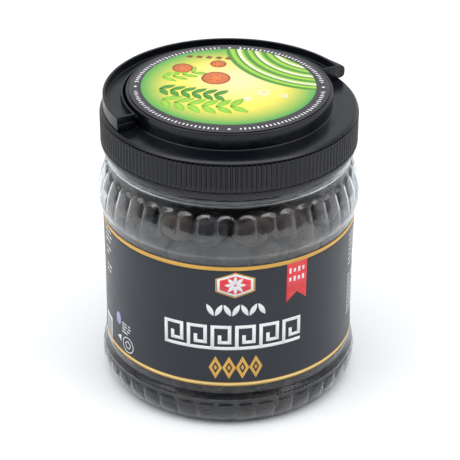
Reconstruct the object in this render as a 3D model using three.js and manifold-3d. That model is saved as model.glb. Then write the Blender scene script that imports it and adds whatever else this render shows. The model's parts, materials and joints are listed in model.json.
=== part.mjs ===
// A wide-mouthed clear jar of black olives: fluted shoulder and foot, sleeve label, ribbed black screw cap
// with a folding carrying handle and a round paper disc on its raised centre.
// Millimetres, +Z up. The origin is the middle of the jar's foot, and -Y is the label's front.
import * as THREE from 'three';
import { mergeVertices } from 'three/addons/utils/BufferGeometryUtils.js';
import Module from 'manifold-3d';

const wasm = await Module();
wasm.setup();

// Clearances
const SEAT_GAP = 0.1;
const RUNNING_GAP = 0.3;

// Jar: one blown bottle of clear plastic
const FLUTES = 40;
const ROUND_STEPS = 2 * FLUTES;
const FLUTE_DEPTH = 1.0;
const FLUTE_TURN_DEG = -0.9;
const WALL = 1.0;
const FOOT_RING_IN = 48.5;
const FOOT_RING_OUT = 51.5;
const FOOT_RADIUS = 59.0;
const PANEL_RADIUS = 56.4;
const PANEL_LOW = 19.4;
const PANEL_HIGH = 84.4;
const SHOULDER_RADIUS = 58.9;
const SHOULDER_LOW = 90.0;
const FLUTE_TOP = 109.7;
const COLLAR_RADIUS = 55.5;
const COLLAR_LOW = 112.4;
const NECK_RADIUS = 53.6;
const NECK_TOP = 132.2;

// Label: a thin sleeve round the panel
const LABEL_THICK = 0.35;
const LABEL_LOW = 21.3;
const LABEL_HIGH = 84.0;

// Cap
const CAP_STEPS = 60;
const CAP_LOW = 117.1;
const BAND_TOP = 120.2;
const RIB_LOW = 120.6;
const RIB_TOP = 132.8;
const RIBS = 164;
const RIB_RADIUS = 57.6;
const RIB_DEPTH = 0.5;
const SKIRT_WALL = 1.7;
const SHELF_RADIUS = 56.5;
const SHELF_TOP = 134.1;
const CAP_PLATE = 1.6;
const BOSS_RADIUS = 45.6;
const BOSS_TOP = 141.6;
const BOSS_EDGE = 0.7;

// Paper disc on the cap
const DISC_RADIUS = 44.2;
const DISC_THICK = 0.25;

// Carrying handle: half a ring of channel section, hinged at its two ends
const HINGE_TURN_DEG = 29;
const HINGE_HEIGHT = 137.6;
const HANDLE_STEPS = 64;
const HANDLE_IN = 46.9;
const HANDLE_OUT = 55.9;
const HANDLE_LOW = 134.4;
const HANDLE_TOP = 140.6;
const HANDLE_INNER_WALL = 0.9;
const HANDLE_OUTER_WALL = 1.4;
const HANDLE_FLOOR_LOW = 135.9;
const HANDLE_FLOOR_TOP = 137.1;
const HANDLE_END = -1.8;
const END_WALL = 1.0;
const END_BLOCK = 5.0;
const SWING_RADIUS = 3.3;
const TAB_REACH = 58.0;
const TAB_HALF = [3.6, 8.5, 3.0];
const PIN_RADIUS = 1.6;
const PIN_LENGTH = 3.4;
const SOCKET_WALL = 2.2;

// Olives
const OLIVE_SEED = 20261;
const OLIVE_LENGTH = 23;
const OLIVE_WIDTH = 18.5;
const CORE_RADIUS = 49.5;
const CORE_LOW = 8.0;
const CORE_TOP = 101.0;
const CORE_STEPS = 32;
const OLIVE_RINGS = [
  { radius: 45.3, height: 14.8, count: 14, upright: 0 },
  { radius: 45.0, height: 88.0, count: 15, upright: 0.5 },
  { radius: 44.8, height: 99.4, count: 14, upright: 0.3 },
  { radius: 29.0, height: 101.2, count: 8, upright: 0 },
  { radius: 11.0, height: 101.8, count: 3, upright: 0 },
];

const degrees = THREE.MathUtils.degToRad;

// Closed mesh to boolean solid
function solidOf(geometry) {
  const bare = geometry.clone();
  bare.deleteAttribute('normal');
  bare.deleteAttribute('uv');
  const merged = mergeVertices(bare, 1e-4);
  const triVerts = new Uint32Array(merged.index.array);
  const vertProperties = merged.attributes.position.array;
  return new wasm.Manifold(new wasm.Mesh({ numProp: 3, vertProperties, triVerts }));
}

// Boolean solid back to a mesh geometry
function geometryOf(solid) {
  const mesh = solid.getMesh();
  const geometry = new THREE.BufferGeometry();
  geometry.setAttribute('position', new THREE.BufferAttribute(new Float32Array(mesh.vertProperties), 3));
  geometry.setIndex(new THREE.BufferAttribute(new Uint32Array(mesh.triVerts), 1));
  geometry.computeVertexNormals();
  return geometry;
}

// A profile of [radius, height] points turned round the Z axis, first column at -Y
function turned(profile, steps, startDeg = 0) {
  const points = profile.map(([radius, height]) => new THREE.Vector2(radius, height));
  return new THREE.LatheGeometry(points, steps, degrees(startDeg)).rotateX(Math.PI / 2);
}

// A plain ring or disc of rectangular section
function turnedBand(inner, outer, low, high, steps, startDeg = 0) {
  const profile = [[inner, low], [outer, low], [outer, high], [inner, high]];
  if (inner > 0) {
    profile.push([inner, low]);
  }
  return turned(profile, steps, startDeg);
}

// A block between two corners
function block(lowCorner, highCorner) {
  const low = new THREE.Vector3(...lowCorner);
  const high = new THREE.Vector3(...highCorner);
  const size = high.clone().sub(low);
  const middle = high.clone().add(low).multiplyScalar(0.5);
  return new THREE.BoxGeometry(size.x, size.y, size.z).translate(middle.x, middle.y, middle.z);
}

// A round bar along X at the hinge height
function hingeBar(radius, fromX, toX, steps) {
  const bar = new THREE.CylinderGeometry(radius, radius, toX - fromX, steps).rotateZ(Math.PI / 2);
  return bar.translate((fromX + toX) / 2, 0, HINGE_HEIGHT);
}

// A repeatable random number source between 0 and 1
function randomSource(seed) {
  let state = seed;
  return () => {
    state = (state * 1664525 + 1013904223) % 4294967296;
    return state / 4294967296;
  };
}

// Jar. The outer profile holds [radius, height, share of the flute depth]
const JAR_OUTSIDE = [
  [0, 5.0, 0],
  [45, 1.6, 0],
  [FOOT_RING_IN, 0, 0],
  [FOOT_RING_OUT, 0, 0],
  [55.2, 1.3, 0.5],
  [57.6, 3.8, 1],
  [FOOT_RADIUS, 8.6, 1],
  [58.7, 12.4, 1],
  [58.0, 15.8, 0.9],
  [57.6, 17.4, 0],
  [PANEL_RADIUS, PANEL_LOW, 0],
  [PANEL_RADIUS, PANEL_HIGH, 0],
  [57.6, 87.0, 0],
  [58.3, SHOULDER_LOW, 0],
  [SHOULDER_RADIUS, 94.4, 0.2],
  [58.2, 99.4, 0.8],
  [56.0, 106.6, 1],
  [54.9, FLUTE_TOP, 0],
  [54.6, 111.6, 0],
  [COLLAR_RADIUS, COLLAR_LOW, 0],
  [COLLAR_RADIUS, 116.2, 0],
  [NECK_RADIUS, 117.2, 0],
  [NECK_RADIUS, NECK_TOP, 0],
];
const JAR_INSIDE = [
  [NECK_RADIUS - 1.4, NECK_TOP],
  [NECK_RADIUS - 1.4, 113.4],
  [55.0, 104.2],
  [57.1, 97.0],
  [57.1, 91.0],
  [PANEL_RADIUS - WALL, 85.6],
  [PANEL_RADIUS - WALL, 19.4],
  [56.9, 9.0],
  [54.6, 3.6],
  [50.0, WALL],
  [45.5, 2.7],
  [0, 5.0 + WALL],
];

function jarGeometry() {
  const profile = [...JAR_OUTSIDE, ...JAR_INSIDE];
  const geometry = turned(profile, ROUND_STEPS, FLUTE_TURN_DEG);
  const position = geometry.attributes.position;
  for (let column = 1; column < ROUND_STEPS; column += 2) {
    for (let row = 0; row < JAR_OUTSIDE.length; row += 1) {
      const [radius, , share] = JAR_OUTSIDE[row];
      const index = column * profile.length + row;
      const scale = radius > 0 ? (radius - FLUTE_DEPTH * share) / radius : 1;
      position.setXY(index, position.getX(index) * scale, position.getY(index) * scale);
    }
  }
  return geometry;
}

// Label: a sleeve on the panel
function labelGeometry() {
  const inner = PANEL_RADIUS + SEAT_GAP;
  return turnedBand(inner, inner + LABEL_THICK, LABEL_LOW, LABEL_HIGH, ROUND_STEPS, FLUTE_TURN_DEG);
}

// Cap: skirt with a plain tear band, ribs, a flat shelf for the handle and a raised centre
function capBody() {
  const root = RIB_RADIUS - RIB_DEPTH;
  const inner = root - SKIRT_WALL;
  const plateLow = SHELF_TOP - CAP_PLATE;
  return solidOf(turned([
    [0, BOSS_TOP - CAP_PLATE],
    [BOSS_RADIUS - CAP_PLATE, BOSS_TOP - CAP_PLATE],
    [BOSS_RADIUS - CAP_PLATE, plateLow],
    [inner, plateLow],
    [inner, CAP_LOW],
    [root, CAP_LOW],
    [root + 0.3, BAND_TOP],
    [root - 0.2, BAND_TOP + 0.1],
    [root - 0.2, RIB_LOW - 0.1],
    [root, RIB_LOW],
    [root, RIB_TOP],
    [root - 0.1, SHELF_TOP - 0.5],
    [SHELF_RADIUS, SHELF_TOP],
    [BOSS_RADIUS, SHELF_TOP],
    [BOSS_RADIUS, BOSS_TOP - BOSS_EDGE],
    [BOSS_RADIUS - BOSS_EDGE, BOSS_TOP],
    [0, BOSS_TOP],
  ], CAP_STEPS));
}

// The ring of finger ribs: an outline of teeth with a round hole, raised to the rib height
function ribRing() {
  const outline = new THREE.Shape();
  const overlap = 0.8;
  for (let step = 0; step < 2 * RIBS; step += 1) {
    const angle = step * Math.PI / RIBS;
    const radius = step % 2 ? RIB_RADIUS - RIB_DEPTH + 0.05 : RIB_RADIUS;
    const place = [radius * Math.cos(angle), radius * Math.sin(angle)];
    if (step === 0) {
      outline.moveTo(...place);
    } else {
      outline.lineTo(...place);
    }
  }
  outline.closePath();
  const hole = new THREE.Path();
  hole.absarc(0, 0, RIB_RADIUS - RIB_DEPTH - overlap, 0, 2 * Math.PI, true);
  outline.holes.push(hole);
  const depth = RIB_TOP - RIB_LOW;
  const options = { depth, bevelEnabled: false, curveSegments: CAP_STEPS / 2 };
  return solidOf(new THREE.ExtrudeGeometry(outline, options).translate(0, 0, RIB_LOW));
}

function capGeometry() {
  let cap = capBody().add(ribRing());
  const innerX = BOSS_RADIUS - CAP_PLATE - PIN_LENGTH;
  const halfWidth = PIN_RADIUS + SOCKET_WALL;
  for (const side of [-1, 1]) {
    const near = side * innerX;
    const far = side * (BOSS_RADIUS - 1);
    const lowCorner = [Math.min(near, far), -halfWidth, SHELF_TOP - CAP_PLATE];
    const highCorner = [Math.max(near, far), halfWidth, BOSS_TOP - 1];
    const housing = solidOf(block(lowCorner, highCorner).rotateZ(degrees(HINGE_TURN_DEG)));
    cap = cap.add(housing);
  }
  for (const side of [-1, 1]) {
    const reach = HANDLE_IN - PIN_LENGTH - RUNNING_GAP;
    const ends = [side * reach, side * (BOSS_RADIUS + 1)].sort((a, b) => a - b);
    const bore = hingeBar(PIN_RADIUS + RUNNING_GAP, ends[0], ends[1], 16);
    cap = cap.subtract(solidOf(bore.rotateZ(degrees(HINGE_TURN_DEG))));
  }
  return geometryOf(cap);
}

// Handle, with its hinge line along X: it is turned to its place by its mesh
function channelRing() {
  const innerFace = HANDLE_IN + HANDLE_INNER_WALL;
  const outerFace = HANDLE_OUT - HANDLE_OUTER_WALL;
  return solidOf(turned([
    [outerFace, HANDLE_LOW],
    [HANDLE_OUT, HANDLE_LOW],
    [HANDLE_OUT, HANDLE_TOP],
    [outerFace, HANDLE_TOP],
    [outerFace, HANDLE_FLOOR_TOP],
    [innerFace, HANDLE_FLOOR_TOP],
    [innerFace, HANDLE_TOP],
    [HANDLE_IN, HANDLE_TOP],
    [HANDLE_IN, HANDLE_LOW],
    [innerFace, HANDLE_LOW],
    [innerFace, HANDLE_FLOOR_LOW],
    [outerFace, HANDLE_FLOOR_LOW],
    [outerFace, HANDLE_LOW],
  ], HANDLE_STEPS));
}

function handleGeometry() {
  const reach = RIB_RADIUS + 10;
  const behind = solidOf(block([-reach, HANDLE_END, 0], [reach, reach, 2 * HANDLE_TOP]));
  const solidRing = solidOf(turnedBand(HANDLE_IN, HANDLE_OUT, HANDLE_LOW, HANDLE_TOP, HANDLE_STEPS));
  const endWall = solidOf(block([-reach, HANDLE_END, 0], [reach, HANDLE_END + END_WALL, 2 * HANDLE_TOP]));
  const underFloor = solidOf(block([-reach, HANDLE_END, 0], [reach, END_BLOCK, HANDLE_FLOOR_TOP]));
  let handle = channelRing().intersect(behind);
  handle = handle.add(solidRing.intersect(endWall.add(underFloor)));
  const tab = new THREE.SphereGeometry(1, 16, 10).scale(...TAB_HALF);
  tab.translate(TAB_REACH - TAB_HALF[0], 0, HINGE_HEIGHT);
  const inside = solidOf(turnedBand(0, HANDLE_OUT - HANDLE_OUTER_WALL, 0, 2 * HANDLE_TOP, HANDLE_STEPS));
  handle = handle.add(solidOf(tab).subtract(inside).intersect(behind));
  for (const side of [-1, 1]) {
    const ends = [side * (HANDLE_IN - PIN_LENGTH), side * (HANDLE_IN + 0.5)].sort((a, b) => a - b);
    handle = handle.add(solidOf(hingeBar(PIN_RADIUS, ends[0], ends[1], 16)));
  }
  const swing = solidOf(hingeBar(SWING_RADIUS, -reach, reach, 24));
  const back = solidOf(block([-reach, 0, 0], [reach, reach, 2 * HANDLE_TOP]));
  return geometryOf(handle.intersect(swing.add(back)));
}

// One olive: a low ellipsoid, turned any way and set at its place
function olive(place, turns, size) {
  const geometry = new THREE.SphereGeometry(size, 6, 4);
  geometry.scale(OLIVE_WIDTH / 2, OLIVE_WIDTH / 2, OLIVE_LENGTH / 2);
  geometry.rotateX(turns[0]).rotateY(turns[1]).rotateZ(turns[2]);
  return solidOf(geometry.translate(...place));
}

// Olives: a plain core, with rings of olives where the clear wall and the surface show them
function oliveHeap() {
  const random = randomSource(OLIVE_SEED);
  const spread = (amount) => (random() - 0.5) * 2 * amount;
  let heap = solidOf(turnedBand(0, CORE_RADIUS, CORE_LOW, CORE_TOP, CORE_STEPS));
  for (const { radius, height, count, upright } of OLIVE_RINGS) {
    const shift = random();
    for (let index = 0; index < count; index += 1) {
      const angle = (index + shift) * 2 * Math.PI / count + spread(0.05);
      const out = radius + spread(0.4);
      const place = [out * Math.cos(angle), out * Math.sin(angle), height + spread(1)];
      const tilt = random() < upright ? 0.3 : Math.PI / 2;
      heap = heap.add(olive(place, [tilt + spread(0.3), spread(0.3), angle], 1 + spread(0.06)));
    }
  }
  return geometryOf(heap);
}

// Paper disc
function discGeometry() {
  const low = BOSS_TOP + SEAT_GAP;
  return turnedBand(0, DISC_RADIUS, low, low + DISC_THICK, CAP_STEPS);
}

const clearPlastic = new THREE.MeshStandardMaterial({
  color: 0xd4dadd, roughness: 0.06, metalness: 0, transparent: true, opacity: 0.28,
});
const blackPlastic = new THREE.MeshStandardMaterial({ color: 0x1b1c1f, roughness: 0.42, metalness: 0 });
const labelFilm = new THREE.MeshStandardMaterial({ color: 0x32363c, roughness: 0.38, metalness: 0 });
const printedPaper = new THREE.MeshStandardMaterial({ color: 0x9fc84a, roughness: 0.45, metalness: 0 });
const oliveSkin = new THREE.MeshStandardMaterial({ color: 0x241c1d, roughness: 0.35, metalness: 0 });

function named(name, geometry, material) {
  const mesh = new THREE.Mesh(geometry, material);
  mesh.name = name;
  return mesh;
}

const oliveJar = new THREE.Group();
oliveJar.add(named('jar', jarGeometry(), clearPlastic));
oliveJar.add(named('label', labelGeometry(), labelFilm));
oliveJar.add(named('olives', oliveHeap(), oliveSkin));

const closure = new THREE.Group();
closure.add(named('cap', capGeometry(), blackPlastic));
closure.add(named('cap_disc', discGeometry(), printedPaper));
const handle = named('handle', handleGeometry(), blackPlastic);
handle.rotation.z = degrees(HINGE_TURN_DEG);
closure.add(handle);
oliveJar.add(closure);

export default oliveJar;
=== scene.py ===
"""Finished surfaces for a clear jar of black olives, built on its fixed frame."""

import json
import math
import random
from collections import namedtuple

import bmesh
import bpy
from bpy.props import FloatProperty, FloatVectorProperty, IntProperty, PointerProperty
from mathutils import Matrix, Vector, noise


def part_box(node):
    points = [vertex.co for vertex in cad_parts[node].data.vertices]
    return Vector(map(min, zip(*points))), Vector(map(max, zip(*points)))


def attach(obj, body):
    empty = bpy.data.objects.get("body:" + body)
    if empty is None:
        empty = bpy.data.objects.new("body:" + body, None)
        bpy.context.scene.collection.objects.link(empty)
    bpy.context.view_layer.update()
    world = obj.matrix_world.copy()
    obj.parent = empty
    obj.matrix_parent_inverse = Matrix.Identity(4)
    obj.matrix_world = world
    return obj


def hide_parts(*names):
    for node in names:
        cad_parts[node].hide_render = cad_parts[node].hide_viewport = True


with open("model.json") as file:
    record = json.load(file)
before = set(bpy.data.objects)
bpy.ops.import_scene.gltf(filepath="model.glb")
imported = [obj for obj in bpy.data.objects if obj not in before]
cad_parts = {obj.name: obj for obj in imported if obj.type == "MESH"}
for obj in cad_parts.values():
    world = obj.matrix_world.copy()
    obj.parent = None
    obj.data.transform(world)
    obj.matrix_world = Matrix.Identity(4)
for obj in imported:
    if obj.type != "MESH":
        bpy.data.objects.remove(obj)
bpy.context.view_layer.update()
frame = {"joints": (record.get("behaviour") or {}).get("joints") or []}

bl_info = {
    "name": "Olive Jar Dressing",
    "version": (1, 0, 0),
    "blender": (4, 5, 0),
    "location": "View3D > Sidebar > Olive Jar",
    "description": "Builds the clear jar, printed sleeve, black cap, handle and olives on their frame",
    "category": "Object",
}

JAR_BODY = "closed_jar"
HANDLE_BODY = "carrying_handle"
MM = 0.001
TAU = 2 * math.pi
FRONT = -math.pi / 2

# Faces round each turned shape: per flute, per rib, or in all
FLUTE_COLUMNS = 8
RIB_COLUMNS = 6
CORE_COLUMNS = 168
SLEEVE_COLUMNS = 264
HANDLE_COLUMNS = 122
DISC_COLUMNS = 128

# Millimetres from here on, unless MM is multiplied in
JAR_MIDDLE = 50
# Below this height the jar's faces take the foot's darker tint: painted shade
FOOT_TOP = 23
PANEL_WAIST = 44
UNDER_SLEEVE = 0.17
FLUTE_TURN = math.radians(-0.9)
GROOVE_POWER = 5
Columns = namedtuple("Columns", "arch drop power blend fade_in fade_out step")
SHOULDER_COLUMNS = Columns(106.6, 2.3, 2, 1.1, (86, 103), (110.8, 111.3), 1.1)
FOOT_COLUMNS = Columns(12.2, 1.2, GROOVE_POWER, 1.0, (0.6, 3.5), (14.6, 15.4), 0.6)
JAR_STEPS = ((102.5, 108, 0.45), (94, 111, 1.8), (9.8, 14.0, 0.5), (1, 18, 1.6))
CORE_OUTLINE = [
    (0, 6.2, 0), (30, 5.4, 6), (45.2, 2.4, 2), (48.8, 0.8, 1), (51.3, 0.8, 1), (54.9, 3.0, 1),
    (56.3, 6.0, 2), (56.2, 9.0, 2), (55.8, 13.5, 1), (54.2, 17.0, 1), (54.4, 44, 8), (54.4, 82, 2),
    (53.8, 90, 2), (52.0, 96, 3), (46.0, 102.5, 4), (38, 105.0, 6), (0, 103.5, 0),
]
OLIVE_RINGS = (
    (51.5, 8.6, 18), (50.5, 24.0, 17), (49.0, 76.0, 17), (51.5, 87.0, 18), (49.5, 98.0, 17),
    (33.0, 98.6, 11), (15.0, 99.0, 6),
)
FOOT_OLIVES = (8.6, 26)
UPPER_OLIVES = (75, 98.4)
PRESSED = 1.5
PLAQUE = (3.0, 74.3)
RIBBON = (26.2, 81.7)
SEAL = (-52.6, 28.6)
GOLD_LINES = (22.85, 82.6)
SMALL_PRINT = (
    (-57.4, 38.6, 7.0, 4, 1.5, 0.55), (-74, 80.0, 8.5, 3, 2.6, 0.9), (-74, 70.5, 8.0, 2, 2.6, 0.9),
    (-74, 61.5, 7.5, 2, 2.6, 0.9), (-118, 80.0, 36, 14, 2.0, 0.6), (-116, 46.0, 32, 7, 2.6, 0.8),
    (71, 77.0, 34, 7, 2.5, 0.85), (71, 56.0, 34, 11, 2.0, 0.6), (118, 77.0, 40, 6, 2.4, 0.8),
)
SKIRT_RADIUS = 56.2
TEAR_LINE = (119.12, 119.42)
TEAR_BRIDGE_PITCH = 4
RIBS_TOP = 132.4
CHANNEL_MIDDLE = 51.4
PIN_MIDDLE = 45.4


def node_size(name):
    """Outer radius, lowest and highest height of a node that is round about the jar's axis."""
    low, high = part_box(name)
    return (high.x - low.x) / 2, low.z, high.z


LABEL_RADIUS, LABEL_LOW, LABEL_HIGH = node_size("label")
CAP_RADIUS = node_size("cap")[0]
DISC_RADIUS, _, DISC_TOP = node_size("cap_disc")
HINGE = next(joint for joint in frame["joints"] if joint["name"] == "handle_hinge")
HINGE_AXIS = Vector(HINGE["axis"]).normalized()
HINGE_TURN = math.atan2(HINGE_AXIS.y, HINGE_AXIS.x)
HINGE_HEIGHT = HINGE["pos_m"][2]


# Settings that a user would change

def length(name, description, default):
    """A length setting in metres."""
    return FloatProperty(
        name=name, description=description, default=default, unit="LENGTH", subtype="DISTANCE",
        precision=5,
    )


def angle_setting(name, description, degrees):
    """An angle setting, its default given in degrees."""
    return FloatProperty(
        name=name, description=description, default=math.radians(degrees), subtype="ANGLE"
    )


def tint(name, description, default):
    """A colour setting."""
    return FloatVectorProperty(
        name=name, description=description, default=default, size=3, subtype="COLOR", min=0, max=1
    )


class JarSettings(bpy.types.PropertyGroup):
    """The blown jar."""

    flutes: IntProperty(name="Flutes", description="Columns round shoulder and foot", default=40)
    flute_depth: length("Flute depth", "Depth of the grooves between the shoulder's columns", 1.0 * MM)
    foot_depth: length("Foot depth", "Depth of the grooves between the foot's columns", 0.8 * MM)
    wall: length("Wall", "Thickness of the blown wall", 0.45 * MM)
    plastic: tint("Plastic", "Tint of the clear plastic", (0.90, 0.93, 0.945))
    # Painted shade: the foot's plastic is tinted darker than the rest of the jar so the foot reads
    # darker; its wall is no thicker
    painted_shade_foot_plastic: tint("Foot plastic", "Tint of the foot's darkened plastic", (0.61, 0.63, 0.67))


class SleeveSettings(bpy.types.PropertyGroup):
    """The printed sleeve."""

    radius: length("Radius", "Outer radius of the sleeve at its ends", LABEL_RADIUS)
    low: length("Lower edge", "Height of the lower edge", LABEL_LOW)
    high: length("Upper edge", "Height of the upper edge", LABEL_HIGH)
    film: tint("Film", "Ground colour of the sleeve", (0.0115, 0.016, 0.0240))
    gold: tint("Gold", "Gold ink", (0.60, 0.34, 0.065))
    white: tint("White", "White ink", (0.80, 0.81, 0.82))
    red: tint("Red", "Red ink", (0.70, 0.035, 0.045))


class CapSettings(bpy.types.PropertyGroup):
    """The screw cap and its handle."""

    ribs: IntProperty(name="Ribs", description="Finger ribs round the skirt", default=164)
    rib_depth: length("Rib depth", "How far the ribs stand out", 0.85 * MM)
    radius: length("Radius", "Outer radius over the ribs", CAP_RADIUS)
    plastic: tint("Plastic", "Colour of the moulded plastic", (0.0022, 0.0029, 0.0048))


class DiscSettings(bpy.types.PropertyGroup):
    """The printed disc on the cap."""

    radius: length("Radius", "Outer radius of the disc", DISC_RADIUS)
    field_radius: length("Field radius", "Radius of the coloured field", 38.7 * MM)
    rim: tint("Rim", "Dark rim", (0.028, 0.026, 0.029))
    middle: tint("Middle", "Yellow middle of the field", (0.81, 0.67, 0.085))
    edge: tint("Edge", "Green edge of the field", (0.085, 0.34, 0.055))


class OliveSettings(bpy.types.PropertyGroup):
    """The olives."""

    length: length("Length", "Mean length of an olive", 21.5 * MM)
    width: length("Width", "Mean width of an olive", 16.8 * MM)
    seed: IntProperty(name="Seed", description="Start of the random draws", default=11)
    skin: tint("Skin", "Darkest skin", (0.0105, 0.0115, 0.0150))
    ripe: tint("Ripe", "Brown of the paler olives", (0.105, 0.066, 0.050))


class StageSettings(bpy.types.PropertyGroup):
    """Camera, floor and light."""

    floor: tint("Floor", "Colour of the floor", (0.895, 0.905, 0.915))
    distance: length("Distance", "From the camera to the point it looks at", 907.25 * MM)
    elevation: angle_setting("Elevation", "Camera above the horizon", 29.616)
    roll: angle_setting("Roll", "Turn of the camera about its line of sight", 0.258)
    lens: FloatProperty(name="Lens", description="Focal length in millimetres", default=154.92)


# Outlines and turned shapes

def filleted(corners, closed=False, steps=4):
    """Points of an outline in millimetres whose corners (x, y, reach of the rounding) are rounded."""
    points = []
    count = len(corners)
    for index, (x, y, radius) in enumerate(corners):
        here = Vector((x, y))
        if radius <= 0 or (not closed and index in (0, count - 1)):
            points.append(here)
            continue
        before = Vector(corners[index - 1][:2]) - here
        after = Vector(corners[(index + 1) % count][:2]) - here
        start = here + before.normalized() * min(radius, 0.49 * before.length)
        end = here + after.normalized() * min(radius, 0.49 * after.length)
        for step in range(steps + 1):
            part = step / steps
            points.append(start.lerp(here, part).lerp(here.lerp(end, part), part))
    return points


def resampled(points, spacing):
    """The outline with long stretches split; spacing gives the longest step at a place."""
    dense = [points[0]]
    for start, end in zip(points, points[1:]):
        parts = max(1, math.ceil((end - start).length / spacing(start.lerp(end, 0.5))))
        dense.extend(start.lerp(end, part / parts) for part in range(1, parts + 1))
    return dense


def radius_at(points, height):
    """Radius of an outline at a height, on its last stretch that reaches that height."""
    found = points[0].x
    for start, end in zip(points, points[1:]):
        if min(start.y, end.y) <= height <= max(start.y, end.y) and start.y != end.y:
            found = start.lerp(end, (height - start.y) / (end.y - start.y)).x
    return found


def outline_edges(bm, points, closed, start):
    """The outline (radius, height) in millimetres as edges in the half plane at the start angle."""
    verts = [bm.verts.new((point[0] * MM, 0, point[1] * MM)) for point in points]
    edges = [bm.edges.new(pair) for pair in zip(verts, verts[1:])]
    if closed:
        edges.append(bm.edges.new((verts[-1], verts[0])))
    bmesh.ops.rotate(bm, verts=verts, cent=(0, 0, 0), matrix=Matrix.Rotation(start, 3, "Z"))
    return verts + edges


def welded(bm, fill=False):
    """The turned shape with its seams joined, its open ends filled if asked, and its faces agreeing."""
    bmesh.ops.remove_doubles(bm, verts=bm.verts, dist=MM / 1000)
    if fill:
        bmesh.ops.holes_fill(bm, edges=[edge for edge in bm.edges if edge.is_boundary], sides=0)
    bmesh.ops.recalc_face_normals(bm, faces=bm.faces)
    return bm


def spun(points, steps):
    """The outline turned all the way round the Z axis: one sector is spun, then copied round."""
    bm = bmesh.new()
    geometry = outline_edges(bm, points, False, FRONT)
    sectors = max(count for count in range(1, math.isqrt(steps) + 1) if steps % count == 0)
    bmesh.ops.spin(
        bm, geom=geometry, cent=(0, 0, 0), axis=(0, 0, 1), angle=TAU / sectors, steps=steps // sectors
    )
    if sectors > 1:
        bmesh.ops.spin(
            bm, geom=bm.verts[:] + bm.edges[:] + bm.faces[:], cent=(0, 0, 0), axis=(0, 0, 1),
            angle=TAU * (sectors - 1) / sectors, steps=sectors - 1, use_duplicate=True,
        )
    return welded(bm)


def swept(points, steps, start, arc, closed=False):
    """The outline turned part of the way round; a closed outline gets its two ends filled."""
    bm = bmesh.new()
    geometry = outline_edges(bm, points, closed, start)
    bmesh.ops.spin(bm, geom=geometry, cent=(0, 0, 0), axis=(0, 0, 1), angle=arc, steps=steps)
    return welded(bm, fill=closed)


def beside(x, y, distance, turn):
    """The place at a distance from (x, y), in the direction of the turn."""
    return x + distance * math.cos(turn), y + distance * math.sin(turn)


def smooth_step(low, high, value):
    """0 below low, 1 above high, and smooth between."""
    part = min(max((value - low) / (high - low), 0.0), 1.0)
    return part * part * (3 - 2 * part)


def push_out(vert, amount):
    """Moves a vertex away from the jar's axis by amount in metres."""
    radius = math.hypot(vert.co.x, vert.co.y)
    if radius > 0:
        vert.co.x *= 1 + amount / radius
        vert.co.y *= 1 + amount / radius


def gathered_at_groove(vert, count):
    """Moves a vertex sideways so that the columns of the mesh crowd at the flutes' grooves.

    Returns its place across the flute: 0 on the crest and 1 in the groove beside it.
    """
    radius = math.hypot(vert.co.x, vert.co.y)
    turns = (math.atan2(vert.co.y, vert.co.x) - FRONT) / TAU * count
    nearest = math.floor(turns + 0.5)
    offset = turns - nearest
    across = 1 - (1 - min(2 * abs(offset), 1.0)) ** 1.35
    angle = FRONT + FLUTE_TURN + (nearest + math.copysign(across / 2, offset)) / count * TAU
    vert.co.xy = beside(0, 0, radius, angle)
    return across


def placed(name, data):
    """A new object that holds the data, linked to the scene."""
    made = bpy.data.objects.new(name, data)
    bpy.context.scene.collection.objects.link(made)
    return made


def mesh_object(name, bm, material):
    """The bmesh as an object with its material."""
    mesh = bpy.data.meshes.new(name)
    bm.to_mesh(mesh)
    bm.free()
    mesh.materials.append(material)
    return placed(name, mesh)


def piece(name, bm, material, body=JAR_BODY, replaces=(), sharp=180):
    """The bmesh as a piece that rides on its body, shaded smooth up to the sharp angle in degrees."""
    made = mesh_object(name, bm, material)
    made.data.shade_smooth()
    made.data.set_sharp_from_angle(angle=math.radians(sharp))
    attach(made, body)
    if replaces:
        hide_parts(*replaces)
    return made


def give_wall(made, thickness, offset):
    """A live wall on an open skin: offset -1 grows it inwards and 1 outwards."""
    wall = made.modifiers.new("wall", "SOLIDIFY")
    wall.thickness = thickness
    wall.offset = offset


def turn_faces(bm, outward):
    """Flips each face that looks against outward, a function of the face's middle."""
    for face in bm.faces:
        face.normal_update()
        if face.normal.dot(outward(face.calc_center_median())) < 0:
            face.normal_flip()


# Materials

def blank_material(name):
    """A material with its node tree and its Principled shader."""
    material = bpy.data.materials.new(name)
    material.use_nodes = True
    return material, material.node_tree, material.node_tree.nodes["Principled BSDF"]


def set_inputs(tree, node, inputs):
    """Links a node's inputs to the values that are sockets and sets the others."""
    for socket, value in inputs.items():
        if isinstance(value, bpy.types.NodeSocket):
            tree.links.new(value, node.inputs[socket])
        else:
            node.inputs[socket].default_value = value


def add_node(tree, kind, inputs=None, **settings):
    """A node with its settings made and its inputs set or linked."""
    made = tree.nodes.new(kind)
    for key, value in settings.items():
        setattr(made, key, value)
    set_inputs(tree, made, inputs or {})
    return made


def object_place(tree):
    """The place on the object, in metres."""
    return add_node(tree, "ShaderNodeTexCoord").outputs["Object"]


def noise_value(tree, scale, detail=3.0, roughness=0.5, place=None):
    """Soft noise from 0 to 1; scale is in features per metre."""
    return add_node(tree, "ShaderNodeTexNoise", {
        "Vector": place or object_place(tree), "Scale": scale, "Detail": detail, "Roughness": roughness,
    }).outputs["Fac"]


def spread(tree, value, low, high, from_low=0.3, from_high=0.7):
    """The value mapped from its middle range to low and high."""
    return add_node(tree, "ShaderNodeMapRange", {
        "Value": value, "From Min": from_low, "From Max": from_high, "To Min": low, "To Max": high,
    }).outputs["Result"]


def uneven(tree, scale, low, high, detail=3.0):
    """A value that wanders from low to high."""
    return spread(tree, noise_value(tree, scale, detail), low, high)


def math_node(tree, operation, first, second=0.0, third=0.0):
    """One arithmetic step."""
    inputs = {0: first, 1: second, 2: third}
    return add_node(tree, "ShaderNodeMath", inputs, operation=operation).outputs[0]


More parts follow.
